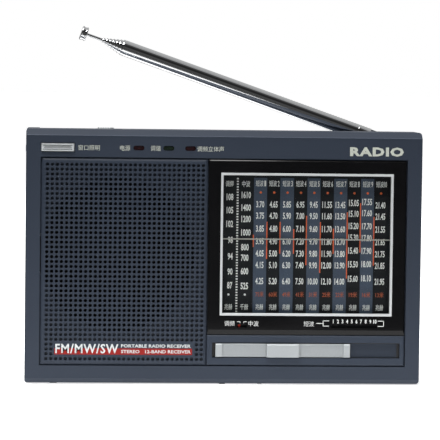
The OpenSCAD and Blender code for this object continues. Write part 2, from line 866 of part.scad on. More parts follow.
module earphone_jack() {
    color("#26272a") in_case() difference() {
        union() {
            rod_x(3, -half_w, -inner_x, jack_d, earphone_z);
            block(-inner_x, -61.2, jack_d - 4, jack_d + 4, earphone_z - 3.3, earphone_z + 3.3);
        }
        rod_x(1.8, -half_w - cut, -62.2, jack_d, earphone_z);
    }
}

module dc_jack() {
    color("#26272a") in_case() {
        difference() {
            union() {
                rod_x(4, -half_w, -inner_x, jack_d, dc_z);
                block(-inner_x, -61.2, jack_d - 4.5, jack_d + 4.5, dc_z - 4.5, dc_z + 4.5);
            }
            rod_x(2.75, -half_w - cut, -64, jack_d, dc_z);
        }
        rod_x(0.65, -74, -63.9, jack_d, dc_z);
    }
}

// ---------- battery ----------

module battery_cells() {
    color("#2f6f8f") in_case() for (k = [0, 1]) {
        x0 = k == 0 ? 7.6 : 2.3;
        tip = 1.2;
        body0 = k == 0 ? x0 : x0 + tip;
        rod_x(cell_r, body0, body0 + cell_l - tip, cell_d, cell_places[k]);
        nub = k == 0 ? x0 + cell_l - tip - 0.1 : x0;
        rod_x(2.7, nub, nub + tip + 0.1, cell_d, cell_places[k]);
    }
}

// A flat plate behind each cell's nub and a coiled spring at its flat end
module battery_contacts() {
    left = box_x[0] + box_wall;
    right = box_x[1] - box_wall;
    color("#c4c6c8") in_case() {
        for (x = [left, right - 0.4])
            block(x, x + 0.4, cell_d - 5.5, cell_d + 5.5, cell_places[0] - 5, cell_places[1] + 5);
        contact_spring(left + 0.4, cell_places[0], 1);
        contact_spring(right - 0.4, cell_places[1], -1);
    }
}

module contact_spring(x, z, way) {
    for (k = [0:3]) translate([x + way * (0.4 + k * 1.4), cell_d, z]) rotate([0, 90, 0])
        rotate_extrude() translate([4.4 - k * 0.55, 0]) circle(r = 0.4, $fn = 16);
    for (k = [0:2]) rod_x(0.35, min(x + way * (0.4 + k * 1.4), x + way * (1.8 + k * 1.4)),
                          max(x + way * (0.4 + k * 1.4), x + way * (1.8 + k * 1.4)),
                          cell_d, z + 4.4 - k * 0.55 - 0.25, $fn = 16);
}

module battery_door() {
    color("#353b47") in_case() difference() {
        union() {
            block(1.2, half_w - 0.1, door_seat + 0.1, case_d, door_z[0] + 0.15, door_z[1] - 0.15);
            block(1.2, half_w - 0.1, door_seat + 0.1, 30.1, door_z[0] - 0.65, door_z[1] + 0.65);
        }
        for (x = [58:1.6:68]) block(x, x + 0.8, case_d - 0.5, case_d + cut, 19, 33);
    }
}

module kickstand() {
    color("#3a414d") in_case() difference() {
        union() {
            block(stand_x - stand_half, stand_x + stand_half, stand_axis_d - stand_r,
                  stand_axis_d + stand_r, stand_low, stand_axis_z);
            rod_x(stand_r, stand_x - stand_half, stand_x + stand_half, stand_axis_d, stand_axis_z);
            rod_x(0.9, stand_x - stand_half - 1.7, stand_x + stand_half + 1.7,
                  stand_axis_d, stand_axis_z);
            block(stand_x - stand_half, stand_x + stand_half, stand_axis_d,
                  case_d + stand_proud, 16, 18);
        }
        block(stand_x - 11, stand_x + 11, stand_axis_d + 0.3, case_d, 22, 66);
    }
}

// ---------- aerial ----------

module at_aerial() {
    in_case() translate([aerial_x, aerial_d, aerial_z]) children();
}

// Along the aerial: local +Z runs from the hinge pin to the tip
module along_aerial() {
    at_aerial() rotate([0, aerial_rest - 90, 0]) children();
}

module aerial_turret() {
    ear_in = 1.25;
    ear_out = 3.1;
    color("#c9ccd0") at_aerial() difference() {
        union() {
            for (side = [-1, 1]) {
                d0 = side > 0 ? ear_in : -ear_out;
                rod_d(ear_r, d0, d0 + ear_out - ear_in, 0, 0);
                block(-ear_r, ear_r, d0, d0 + ear_out - ear_in, -3.4, 0);
            }
            rod_z(4, groove_z - 1.9 - aerial_z, -3.2, 0, 0);
            rod_z(2, 79.2 - aerial_z, groove_z - 1.8 - aerial_z, 0, 0);
            rod_z(3.6, 78.6 - aerial_z, 79.7 - aerial_z, 0, 0);
        }
        rod_d(1, -4, 4, 0, 0);
    }
}

module aerial_pin() {
    color("#9c9fa3") at_aerial() {
        rod_d(1, -3.2, 3.2, 0, 0);
        for (d = [-3.4, 3.1]) rod_d(1.6, d, d + 0.3, 0, 0);
    }
}

module aerial_ferrule() {
    color("#d2d4d7") along_aerial() difference() {
        union() {
            rotate([90, 0, 0]) translate([0, 0, -1.1]) cylinder(r = 2.8, h = 2.2);
            translate([-2.8, -1.1, 0]) cube([5.6, 2.2, ferrule_start + 0.5]);
            translate([0, 0, ferrule_start]) cylinder(d = tube_d, h = ferrule_end - ferrule_start);
            translate([0, 0, ferrule_end]) cylinder(d = tube_d - 2 * tube_wall - 0.04, h = 2);
        }
        rotate([90, 0, 0]) translate([0, 0, -2]) cylinder(r = 1.06, h = 4);
    }
}

function tube_outer(k) = tube_d - k * tube_step;
function tube_tail(k) = k == 0 ? ferrule_end : ferrule_end + 2.2 + 0.5 * k;
function tube_mouth(k) = mouth_s + k * mouth_step;

module aerial_tube(k) {
    color("#d9dbde") along_aerial() difference() {
        translate([0, 0, tube_tail(k)]) cylinder(d = tube_outer(k), h = tube_mouth(k) - tube_tail(k));
        translate([0, 0, tube_tail(k) - 1])
            cylinder(d = tube_outer(k) - 2 * tube_wall, h = tube_mouth(k) - tube_tail(k) + 2);
    }
}

module aerial_tube_0() { aerial_tube(0); }
module aerial_tube_1() { aerial_tube(1); }
module aerial_tube_2() { aerial_tube(2); }
module aerial_tube_3() { aerial_tube(3); }
module aerial_tube_4() { aerial_tube(4); }
module aerial_tube_5() { aerial_tube(5); }
module aerial_tube_6() { aerial_tube(6); }

module aerial_rod() {
    tip = tube_mouth(6) + 6.5;
    color("#d9dbde") along_aerial() {
        translate([0, 0, 15.2]) cylinder(d = tube_outer(7), h = tip - 15);
        translate([0, 0, tip]) cylinder(r1 = 1.4, r2 = 2.75, h = 0.7);
        translate([0, 0, tip + 0.7]) cylinder(r = 2.75, h = 1.2);
        translate([0, 0, tip + 1.9]) cylinder(r1 = 2.75, r2 = 2.2, h = 0.4);
    }
}

// ---------- nodes ----------

front_shell();
rear_shell();
grille_panel();
dust_cloth();
window_panel();
window_trim();
dial_lens();
dial_scale();
dial_chassis();
dial_lamps();
pointer();
pointer_carriage();
pointer_rails();
band_plate();
band_knob();
band_indicator();
band_switch();
band_switch_slider();
light_button();
power_knob();
dx_knob();
small_switches();
led_power();
led_tuning();
led_stereo();
circuit_boards();
tuning_knob();
tuning_shaft();
tuning_gear();
tuning_capacitor();
drive_bracket();
volume_knob();
volume_pot();
chips();
coil_cans();
electrolytics();
ferrite_rod();
ferrite_coil();
speaker_frame();
speaker_magnet();
speaker_cone();
earphone_jack();
dc_jack();
battery_cells();
battery_contacts();
battery_door();
kickstand();
feet();
screws();
aerial_turret();
aerial_pin();
aerial_ferrule();
aerial_tube_0();
aerial_tube_1();
aerial_tube_2();
aerial_tube_3();
aerial_tube_4();
aerial_tube_5();
aerial_tube_6();
aerial_rod();
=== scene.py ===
import json
import math

import bmesh
import bpy
from mathutils import Matrix, Vector


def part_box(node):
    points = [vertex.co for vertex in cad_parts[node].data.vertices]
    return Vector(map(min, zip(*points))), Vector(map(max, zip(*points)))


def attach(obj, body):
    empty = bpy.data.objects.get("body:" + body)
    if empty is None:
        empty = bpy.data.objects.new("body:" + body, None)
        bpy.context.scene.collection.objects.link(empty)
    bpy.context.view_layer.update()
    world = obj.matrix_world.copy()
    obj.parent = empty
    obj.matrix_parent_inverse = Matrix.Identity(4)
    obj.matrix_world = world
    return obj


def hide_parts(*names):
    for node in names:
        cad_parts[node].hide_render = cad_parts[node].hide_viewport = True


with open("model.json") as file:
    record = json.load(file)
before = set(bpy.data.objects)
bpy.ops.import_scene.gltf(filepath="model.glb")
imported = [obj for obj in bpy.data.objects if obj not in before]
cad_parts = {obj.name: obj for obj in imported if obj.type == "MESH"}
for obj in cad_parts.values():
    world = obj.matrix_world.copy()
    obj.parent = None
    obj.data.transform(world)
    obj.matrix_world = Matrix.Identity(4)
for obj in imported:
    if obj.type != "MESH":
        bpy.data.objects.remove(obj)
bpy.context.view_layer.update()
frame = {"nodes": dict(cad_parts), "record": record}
nodes = frame["nodes"]
MM = 0.001

# ---------- the frame: places are in millimetres across, deep from the front face, and up ----------

case_low, case_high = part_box("front_shell")
front_y = case_low.y
left_x = case_low.x
top_z = case_high.z


def at(x, d, z):
    """A point x mm across, d mm behind the front face and z mm above the table."""
    return Vector((x * MM, front_y + d * MM, z * MM))


def centre(node):
    """The middle of a CAD part at rest."""
    low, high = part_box(node)
    return (low + high) / 2


def link(obj):
    bpy.context.scene.collection.objects.link(obj)
    return obj


# The aerial at rest: its angle above the table, and its sizes in mm
AERIAL_TILT = 19.1
TUBE_COUNT = 7
TUBE_D = 6.1
TUBE_STEP = 0.7
TUBE_WALL = 0.3
FERRULE_END = 9.3
MOUTH = 106.1
MOUTH_STEP = 1.31


# ---------- node graphs ----------


class Graph:
    """A node tree with short names for the nodes that the looks are made of."""

    def __init__(self, tree):
        self.nt = tree
        self.nt.nodes.clear()
        self.coord = self.add("ShaderNodeTexCoord")

    def add(self, kind):
        return self.nt.nodes.new(kind)

    def link(self, a, b):
        self.nt.links.new(a, b)

    def feed(self, socket, value):
        """Links a socket to another one, or sets it to a number or a colour."""
        if isinstance(value, bpy.types.NodeSocket):
            self.link(value, socket)
        elif isinstance(value, tuple):
            socket.default_value = (*value, 1)
        else:
            socket.default_value = value

    def spread(self, value, low, high, start=0.3, end=0.7, smooth=False):
        """Maps a value from start and end to low and high."""
        node = self.add("ShaderNodeMapRange")
        if smooth:
            node.interpolation_type = "SMOOTHSTEP"
        for name, number in zip(("From Min", "From Max", "To Min", "To Max"), (start, end, low, high)):
            node.inputs[name].default_value = number
        self.link(value, node.inputs["Value"])
        return node.outputs[0]

    def maths(self, kind, a, b):
        node = self.add("ShaderNodeMath")
        node.operation = kind
        self.feed(node.inputs[0], a)
        self.feed(node.inputs[1], b)
        return node.outputs[0]

    def between(self, factor, a, b):
        """A number that goes from a to b with the factor."""
        node = self.add("ShaderNodeMix")
        for k, value in ((0, factor), (2, a), (3, b)):
            self.feed(node.inputs[k], value)
        return node.outputs[0]

    def blend(self, factor, a, b):
        """A colour that goes from a to b with the factor."""
        node = self.add("ShaderNodeMix")
        node.data_type = "RGBA"
        for k, value in ((0, factor), (6, a), (7, b)):
            self.feed(node.inputs[k], value)
        return node.outputs[2]


class Look(Graph):
    """A node material on Principled. Its patterns are in object space, so their scale is in metres."""

    def __init__(self, name):
        self.mat = bpy.data.materials.new(name)
        self.mat.use_nodes = True
        super().__init__(self.mat.node_tree)
        self.out = self.add("ShaderNodeOutputMaterial")
        self.bsdf = self.add("ShaderNodeBsdfPrincipled")
        self.link(self.bsdf.outputs[0], self.out.inputs["Surface"])

    def set(self, **values):
        for name, value in values.items():
            self.feed(self.bsdf.inputs[name.replace("_", " ")], value)

    def noise(self, scale, detail=2.0, stretch=(1, 1, 1), turn=(0, 0, 0)):
        mapping = self.add("ShaderNodeMapping")
        mapping.inputs["Rotation"].default_value = turn
        mapping.inputs["Scale"].default_value = stretch
        tex = self.add("ShaderNodeTexNoise")
        tex.inputs["Scale"].default_value = scale
        tex.inputs["Detail"].default_value = detail
        self.link(self.coord.outputs["Object"], mapping.inputs[0])
        self.link(mapping.outputs[0], tex.inputs[0])
        return tex.outputs["Fac"]

    def cells(self, scale):
        tex = self.add("ShaderNodeTexVoronoi")
        tex.inputs["Scale"].default_value = scale
        self.link(self.coord.outputs["Object"], tex.inputs["Vector"])
        return tex

    def bump(self, height, depth, strength=1.0):
        node = self.add("ShaderNodeBump")
        node.inputs["Strength"].default_value = strength
        node.inputs["Distance"].default_value = depth
        self.link(height, node.inputs["Height"])
        self.link(node.outputs[0], self.bsdf.inputs["Normal"])

    def rough(self, value, low, high):
        self.link(self.spread(value, low, high), self.bsdf.inputs["Roughness"])

    def colour(self, value):
        self.link(value, self.bsdf.inputs["Base Color"])


# ---------- camera, floor and light ----------

EYE = Vector((-0.0665, -0.99505, 0.11793))
AIM = Vector((-0.0007, 0.0, 0.06178))
ROLL = 0.0122
LENS = 213.0
SENSOR = 36
FLOOR_RINGS = (0.3, 0.6, 1.2, 2.5, 6.0, 14.0)
FLOOR_SIDES = 96


def circle(count):
    """Cosine and sine of the angles round a circle."""
    return [(math.cos(a), math.sin(a)) for a in (2 * math.pi * k / count for k in range(count))]


def join_rings(bm, a, b):
    """Faces between two rings of points. A ring of a single point makes a tip."""
    count = max(len(a), len(b))
    for k in range(count):
        n = (k + 1) % count
        quad = (a[k % len(a)], b[k % len(b)], b[n % len(b)], a[n % len(a)])
        bm.faces.new(list(dict.fromkeys(quad)))


def make_camera():
    data = bpy.data.cameras.new("camera")
    data.lens = LENS
    data.sensor_width = SENSOR
    data.clip_start = 0.05
    cam = link(bpy.data.objects.new("camera", data))
    look = (AIM - EYE).normalized()
    level = look.cross(Vector((0, 0, 1))).normalized()
    upright = level.cross(look)
    right = level * math.cos(ROLL) + upright * math.sin(ROLL)
    up = upright * math.cos(ROLL) - level * math.sin(ROLL)
    cam.matrix_world = Matrix.Translation(EYE) @ Matrix((right, up, -look)).transposed().to_4x4()
    bpy.context.scene.camera = cam


def floor_look():
    """Pale to the eye all over, and for bounced light pale near the object and darker far away."""
    look = Look("floor")
    look.set(Roughness=0.9, Specular_IOR_Level=0.1, Emission_Color=(1, 1, 1))
    noise = look.add("ShaderNodeTexNoise")
    noise.inputs["Scale"].default_value = 30
    reach = look.add("ShaderNodeVectorMath")
    reach.operation = "LENGTH"
    look.link(look.coord.outputs["Object"], reach.inputs[0])
    distance = reach.outputs["Value"]
    seen = look.add("ShaderNodeLightPath").outputs["Is Camera Ray"]
    bounced = look.spread(distance, 0.88, 0.04, 0.14, 0.26)
    look.colour(look.between(seen, bounced, look.spread(noise.outputs["Fac"], 0.86, 0.9, 0, 1)))
    glow = look.between(seen, look.spread(distance, 0.55, 0.0, 0.1, 0.2), 0.6)
    look.link(glow, look.bsdf.inputs["Emission Strength"])
    return look.mat


def make_floor():
    bm = bmesh.new()
    rings = [[bm.verts.new((r * c, r * s, 0)) for c, s in circle(FLOOR_SIDES)] for r in FLOOR_RINGS]
    bm.faces.new(rings[0])
    for a, b in zip(rings, rings[1:]):
        join_rings(bm, a, b)
    mesh = bpy.data.meshes.new("floor")
    bm.to_mesh(mesh)
    bm.free()
    floor = link(bpy.data.objects.new("floor", mesh))
    mesh.materials.append(floor_look())


def area_light(name, place, size, power, shiny=True):
    """A soft light that looks at the object. One that isn't shiny doesn't show in the chrome."""
    data = bpy.data.lights.new(name, "AREA")
    data.shape = "RECTANGLE"
    data.size, data.size_y = size
    data.energy = power
    lamp = link(bpy.data.objects.new(name, data))
    lamp.visible_glossy = shiny
    lamp.location = place
    lamp.rotation_mode = "QUATERNION"
    lamp.rotation_quaternion = (Vector((0, 0, 0.05)) - Vector(place)).to_track_quat("-Z", "Y")


# What the chrome mirrors, from in front (0) to behind (1): place and brightness
BANDS = ((0.05, 0.03), (0.14, 0.02), (0.22, 0.09), (0.27, 0.05), (0.33, 0.3), (0.4, 0.62),
         (0.46, 0.24), (0.55, 0.85), (0.62, 0.35), (0.75, 0.8), (0.84, 0.5))
BAND_ENDS = (0.11, 0.85)


def make_world():
    """White to the eye, soft light from above, and for reflections bands from dark to bright."""
    world = bpy.data.worlds.new("studio")
    bpy.context.scene.world = world
    world.use_nodes = True
    sky = Graph(world.node_tree)
    xyz = sky.add("ShaderNodeSeparateXYZ")
    sky.link(sky.coord.outputs["Generated"], xyz.inputs[0])
    up = sky.spread(xyz.outputs["Z"], 0.4, 0.75, 0.0, 0.9, smooth=True)
    ahead = sky.spread(xyz.outputs["Y"], 0.05, 1.0, -0.95, -0.3, smooth=True)
    ramp = sky.add("ShaderNodeValToRGB")
    stops = ramp.color_ramp.elements
    for stop, value in zip(list(stops), BAND_ENDS):
        stop.color = (value, value, value, 1)
    for place, value in BANDS:
        stops.new(place).color = (value, value, value, 1)
    sky.link(sky.spread(xyz.outputs["Y"], 0, 1, -1, 1), ramp.inputs[0])
    path = sky.add("ShaderNodeLightPath")
    strength = sky.between(path.outputs["Is Glossy Ray"], sky.maths("MULTIPLY", up, ahead), ramp.outputs[0])
    light = sky.add("ShaderNodeBackground")
    sky.link(strength, light.inputs["Strength"])
    shown = sky.add("ShaderNodeBackground")
    shown.inputs["Color"].default_value = (1, 1, 1, 1)
    mix = sky.add("ShaderNodeMixShader")
    sky.link(path.outputs["Is Camera Ray"], mix.inputs[0])
    sky.link(light.outputs[0], mix.inputs[1])
    sky.link(shown.outputs[0], mix.inputs[2])
    sky.link(mix.outputs[0], sky.add("ShaderNodeOutputWorld").inputs[0])


# ---------- materials ----------


def shade(rgb, k):
    return tuple(min(1.0, c * k) for c in rgb)


def moulded(name, rgb, rough=0.5, grain=5200, depth=6e-6, spec=0.45):
    """Plastic from a spark-eroded mould: fine pits, a faint cloudiness and uneven gloss."""
    look = Look(name)
    pits = look.noise(grain, 3.0)
    cloud = look.noise(45, 3.0)
    both = look.maths("ADD", look.maths("MULTIPLY", pits, 0.65), look.maths("MULTIPLY", cloud, 0.35))
    look.colour(look.blend(look.spread(both, 0, 1), shade(rgb, 0.94), shade(rgb, 1.06)))
    look.rough(look.noise(grain * 0.5), rough - 0.07, rough + 0.07)
    look.bump(pits, depth)
    look.set(Specular_IOR_Level=spec)
    return look.mat


def glossy(name, rgb, rough=0.12, spec=0.35):
    """Polished plastic with faint hairlines and dust that dulls the gloss in places."""
    look = Look(name)
    cloud = look.noise(60, 4.0)
    look.colour(look.blend(look.spread(cloud, 0, 1), shade(rgb, 0.85), shade(rgb, 1.2)))
    hair = look.noise(900, 4.0, stretch=(0.08, 1, 1.6), turn=(0.2, 0.4, 0.3))
    look.rough(look.maths("MULTIPLY", look.maths("ADD", hair, cloud), 0.5), rough * 0.7, rough * 1.5)
    look.bump(cloud, 4e-6, 0.5)
    look.set(Specular_IOR_Level=spec)
    return look.mat


def silver_paint(name, rgb, rough=0.38, metal=0.25):
    """Silver paint: small flakes of different brightness under a satin surface."""
    look = Look(name)
    flake = look.cells(9000)
    cloud = look.noise(70, 3.0)
    tone = look.blend(look.spread(flake.outputs["Color"], 0, 1, 0, 1), shade(rgb, 0.9), shade(rgb, 1.08))
    look.colour(look.blend(look.spread(cloud, 0, 0.3), tone, shade(rgb, 0.93)))
    look.rough(look.noise(2500), rough - 0.06, rough + 0.08)
    look.bump(look.noise(4200), 3e-6)
    look.set(Metallic=metal, Specular_IOR_Level=0.5)
    return look.mat


def metal(name, rgb, rough=0.25, streak=(1, 1, 1), turn=(0, 0, 0), scale=700, depth=2e-6, var=0.08,
          dirt=0.12):
    """Bare or plated metal with marks along one direction."""
    look = Look(name)
    marks = look.noise(scale, 5.0, stretch=streak, turn=turn)
    cloud = look.noise(35, 3.0)
    look.colour(look.blend(look.spread(cloud, 0, 1), shade(rgb, 1 - dirt), rgb))
    look.rough(marks, rough - var, rough + var)
    look.bump(marks, depth, 0.6)
    look.set(Metallic=1.0)
    return look.mat


def dial_card():
    look = Look("dial_card")
    tooth = look.noise(2600, 3.0)
    cloud = look.noise(55)
    look.colour(look.blend(look.spread(cloud, 0, 1), (0.0085, 0.009, 0.0105), (0.0125, 0.013, 0.015)))
    look.rough(tooth, 0.5, 0.68)
    look.bump(tooth, 4e-6)
    look.set(Specular_IOR_Level=0.3)
    return look.mat


def ink(name, rgb, rough=0.5, patch=0.1):
    """Screen-printed ink, a little thin in places."""
    look = Look(name)
    thin = look.noise(1500, 3.0)
    look.colour(look.blend(look.spread(thin, 0, 1), shade(rgb, 1 - patch), shade(rgb, 1 + patch)))
    look.rough(thin, rough - 0.08, rough + 0.08)
    look.bump(look.noise(6000), 3e-6)
    look.set(Specular_IOR_Level=0.3)
    return look.mat


def pane():
    """A thin clear window: what is behind shows through, with a faint reflection and a few dust specks."""
    look = Look("clear_acrylic")
    look.set(Base_Color=(0.02, 0.022, 0.024))
    look.rough(look.noise(160, 4.0), 0.05, 0.11)
    clear = look.add("ShaderNodeBsdfTransparent")
    clear.inputs[0].default_value = (0.94, 0.95, 0.955, 1)
    facing = look.add("ShaderNodeFresnel")
    facing.inputs["IOR"].default_value = 1.3
    dust = look.spread(look.noise(2400, 1.0), 0.0, 0.05, 0.72, 0.8)
    mix = look.add("ShaderNodeMixShader")
    look.link(look.maths("ADD", look.maths("MULTIPLY", facing.outputs[0], 0.5), dust), mix.inputs[0])
    look.link(clear.outputs[0], mix.inputs[1])
    look.link(look.bsdf.outputs[0], mix.inputs[2])
    look.link(mix.outputs[0], look.out.inputs["Surface"])
    return look.mat


def lamp_lens(name, rgb, deep):
    """A tinted epoxy lens, darker in its depth."""
    look = Look(name)
    cloud = look.noise(1100)
    look.colour(look.blend(look.spread(cloud, 0, 1), deep, rgb))
    look.rough(look.noise(400, 3.0), 0.1, 0.2)
    look.bump(cloud, 5e-6)
    look.set(Specular_IOR_Level=0.5, Coat_Weight=0.3)
    return look.mat


def felt():
    look = Look("black_cloth")
    weave = look.noise(5200, 4.0, stretch=(1, 1, 0.4))
    look.colour(look.blend(look.spread(weave, 0, 1), (0.002, 0.002, 0.0022), (0.01, 0.01, 0.011)))
    look.rough(weave, 0.85, 1.0)
    look.bump(weave, 4e-5)
    look.set(Sheen_Weight=0.1)
    return look.mat


def paper_cone():
    look = Look("paper_cone")
    fibre = look.noise(1800, 5.0, stretch=(1, 1, 0.5))
    look.colour(look.blend(look.spread(fibre, 0, 1), (0.006, 0.006, 0.0065), (0.02, 0.02, 0.021)))
    look.rough(fibre, 0.75, 0.95)
    look.bump(fibre, 6e-5)
    return look.mat


def board_green():
    """Solder mask over a web of copper tracks."""
    look = Look("board")
    tracks = look.cells(260)
    tracks.feature = "DISTANCE_TO_EDGE"
    edge = look.spread(tracks.outputs["Distance"], 1, 0, 0.03, 0.05)
    look.colour(look.blend(edge, (0.018, 0.1, 0.035), (0.035, 0.17, 0.06)))
    look.rough(look.noise(900), 0.25, 0.4)
    look.bump(edge, 2e-5)
    return look.mat


def winding():
    """Enamelled copper wire, turn by turn."""
    look = Look("copper_winding")
    wave = look.add("ShaderNodeTexWave")
    wave.inputs["Scale"].default_value = 700
    wave.inputs["Distortion"].default_value = 0.4
    look.link(look.coord.outputs["Object"], wave.inputs["Vector"])
    turns = wave.outputs["Fac"]
    look.colour(look.blend(turns, (0.16, 0.04, 0.01), (0.45, 0.16, 0.05)))
    look.rough(turns, 0.22, 0.4)
    look.bump(turns, 1e-4)
    return look.mat


def cell_wrap():
    """The printed sleeve of a cell: a blue band at one end, pale along the rest."""
    look = Look("cell_wrap")
    along = look.add("ShaderNodeSeparateXYZ")
    look.link(look.coord.outputs["Object"], along.inputs[0])
    band = look.spread(along.outputs["X"], 0, 1, 0.0145, 0.0147)
    look.colour(look.blend(band, (0.03, 0.14, 0.24), (0.55, 0.56, 0.57)))
    look.rough(look.noise(700), 0.22, 0.36)
    look.bump(look.noise(900), 8e-6)
    return look.mat


def chrome():
    """Polished chrome, drawn along the aerial."""
    along = (0, math.radians(90 - AERIAL_TILT), 0)
    return metal("chrome", (0.8, 0.81, 0.82), 0.07, (1, 1, 0.05), along, 500, 1e-6, var=0.03, dirt=0.05)


CASE = (0.0262, 0.0352, 0.0535)
PANEL = (0.0245, 0.0335, 0.0515)
SILVER = (0.4, 0.425, 0.44)
TRIM = (0.62, 0.64, 0.65)
BUTTON = (0.66, 0.69, 0.7)

looks = {
    "case_plastic": moulded("case_plastic", CASE, spec=0.3),
    "grille_plastic": moulded("grille_plastic", PANEL, spec=0.3),
    "band_plastic": moulded("band_plastic", shade(PANEL, 1.06), 0.48, spec=0.3),
    "black_gloss": glossy("black_gloss", (0.0045, 0.0045, 0.005), 0.08, 0.25),
    "silver_paint": silver_paint("silver_paint", SILVER),
    "switch_grey": silver_paint("switch_grey", (0.3, 0.34, 0.4), 0.4, 0.15),
    "clear_acrylic": pane(),
    "dial_card": dial_card(),
    "white_plastic": moulded("white_plastic", (0.7, 0.68, 0.61), 0.45, 3000),
    "lamp_glass": glossy("lamp_glass", (0.75, 0.68, 0.45), 0.08, 0.6),
    "pointer_paint": ink("pointer_paint", (0.5, 0.49, 0.43), 0.45, 0.06),
    "steel": metal("steel", (0.5, 0.51, 0.53), 0.3, (0.2, 1, 1)),
    "black_plastic": moulded("black_plastic", (0.012, 0.012, 0.013), 0.42, 4200),
    "red_lamp": lamp_lens("red_lamp", (0.03, 0.009, 0.011), (0.009, 0.0035, 0.0045)),
    "green_lamp": lamp_lens("green_lamp", (0.013, 0.023, 0.014), (0.005, 0.008, 0.006)),
    "board": board_green(),
    "brass": metal("brass", (0.62, 0.45, 0.19), 0.25, (0.3, 1, 1)),
    "milky_plastic": glossy("milky_plastic", (0.6, 0.63, 0.65), 0.2, 0.5),
    "blue_sleeve": glossy("blue_sleeve", (0.02, 0.04, 0.13), 0.25, 0.5),
    "ferrite": moulded("ferrite", (0.03, 0.03, 0.031), 0.62, 2200, 1.5e-5),
    "copper_winding": winding(),
    "paper_cone": paper_cone(),
    "black_cloth": felt(),
    "cell_wrap": cell_wrap(),
    "rubber": moulded("rubber", (0.009, 0.009, 0.01), 0.75, 3200, 1.2e-5, spec=0.3),
    "screw_steel": metal("screw_steel", (0.07, 0.07, 0.075), 0.35, scale=1500),
    "chrome": chrome(),
}

# CAD parts with a paint of their own
own_looks = {
    "window_trim": silver_paint("trim_paint", TRIM),
    "light_button": silver_paint("button_paint", BUTTON),
}
for part in frame["record"]["subparts"]:
    for slot in nodes[part["node"]].material_slots:
        slot.material = own_looks.get(part["node"], looks[part["material_slot"]])


# ---------- rounding the CAD parts' edges ----------


def soften(node, width):
    """Rounds a CAD part's hard edges by a width in mm, as a mould or a press does."""
    obj = nodes[node]
    weld = obj.modifiers.new("weld", "WELD")
    weld.merge_threshold = 1e-6
    bevel = obj.modifiers.new("round", "BEVEL")
    bevel.width = width * MM
    bevel.segments = 2
    bevel.limit_method = "ANGLE"
    bevel.angle_limit = math.radians(28)
    bevel.harden_normals = True
    bevel.miter_outer = "MITER_ARC"
    bevel.use_clamp_overlap = True


for node, width in {
    "front_shell": 0.22,
    "rear_shell": 0.22,
    "window_panel": 0.12,
    "window_trim": 0.14,
    "band_plate": 0.15,
    "light_button": 0.05,
    "power_knob": 0.08,
    "dx_knob": 0.12,
    "battery_door": 0.15,
    "kickstand": 0.18,
    "feet": 0.15,
    "tuning_knob": 0.15,
    "volume_knob": 0.15,
    "earphone_jack": 0.15,
    "dc_jack": 0.15,
    "led_power": 0.2,
    "led_tuning": 0.2,
    "led_stereo": 0.2,
    "pointer": 0.06,
    "screws": 0.08,
    "aerial_turret": 0.15,
    "aerial_pin": 0.08,
    "aerial_ferrule": 0.12,
}.items():
    soften(node, width)


# ---------- mesh pieces ----------


def piece(name, bm, look, body, smooth=None):
    """Makes an object that rides on a body. It is shaded smooth across edges below an angle in degrees."""
    bmesh.ops.recalc_face_normals(bm, faces=bm.faces)
    mesh = bpy.data.meshes.new(name)
    bm.to_mesh(mesh)
    bm.free()
    obj = link(bpy.data.objects.new(name, mesh))
    mesh.materials.append(look)
    if smooth is not None:
        for p in mesh.polygons:
            p.use_smooth = True
        mesh.set_sharp_from_angle(angle=math.radians(smooth))
    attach(obj, body)
    return obj


# Directions of a surface seen from outside: to its right, up, and out of it
FRONT = (Vector((1, 0, 0)), Vector((0, 0, 1)), Vector((0, -1, 0)))
BACK = (Vector((-1, 0, 0)), Vector((0, 0, 1)), Vector((0, 1, 0)))
RIGHT = (Vector((0, 1, 0)), Vector((0, 0, 1)), Vector((1, 0, 0)))
LEFT = (Vector((0, -1, 0)), Vector((0, 0, 1)), Vector((-1, 0, 0)))
TOP = (Vector((1, 0, 0)), Vector((0, 1, 0)), Vector((0, 0, 1)))

text_cache = {}


def text_mesh(text, weight, gap):
    """The outline of a text in the built-in font, one unit high, as points and faces."""
    key = (text, weight, gap)
    if key not in text_cache:
        curve = bpy.data.curves.new("text", "FONT")
        curve.body = text
        curve.offset = weight
        curve.space_character = gap
        curve.extrude = 0.5
        curve.resolution_u = 2
        obj = link(bpy.data.objects.new("text", curve))
        graph = bpy.context.evaluated_depsgraph_get()
        mesh = bpy.data.meshes.new_from_object(obj.evaluated_get(graph))
        points = [v.co.copy() for v in mesh.vertices]
        faces = [tuple(p.vertices) for p in mesh.polygons]
        bpy.data.objects.remove(obj)
        bpy.data.curves.remove(curve)
        bpy.data.meshes.remove(mesh)
        text_cache[key] = (points, faces)
    return text_cache[key]


def write(bm, text, place, side, height, width=None, squeeze=0.85, align=0.5, weight=0.0, gap=1.0,
          thick=0.03):
    """Adds raised lettering of a height in mm, centred up and down on place.

    A width in mm overrides squeeze.
    """
    points, faces = text_mesh(text, weight, gap)
    low = Vector(map(min, *points))
    high = Vector(map(max, *points))
    k = height * MM / (high.y - low.y)
    kx = width * MM / (high.x - low.x) if width else k * squeeze
    right, up, out = side
    made = []
    for p in points:
        x = (p.x - low.x - align * (high.x - low.x)) * kx
        y = (p.y - (low.y + high.y) / 2) * k
        made.append(bm.verts.new(place + right * x + up * y + out * (p.z + 0.5) * thick * MM))
    for f in faces:
        if len(set(f)) > 2:
            try:
                bm.faces.new([made[i] for i in f])
            except ValueError:
                # The font repeats a few faces
                pass


def solid(bm, near, far):
    """A closed solid between two outlines with the same number of points."""
    near = [bm.verts.new(p) for p in near]
    far = [bm.verts.new(p) for p in far]
    bm.faces.new(near)
    bm.faces.new(far[::-1])
    join_rings(bm, near, far)


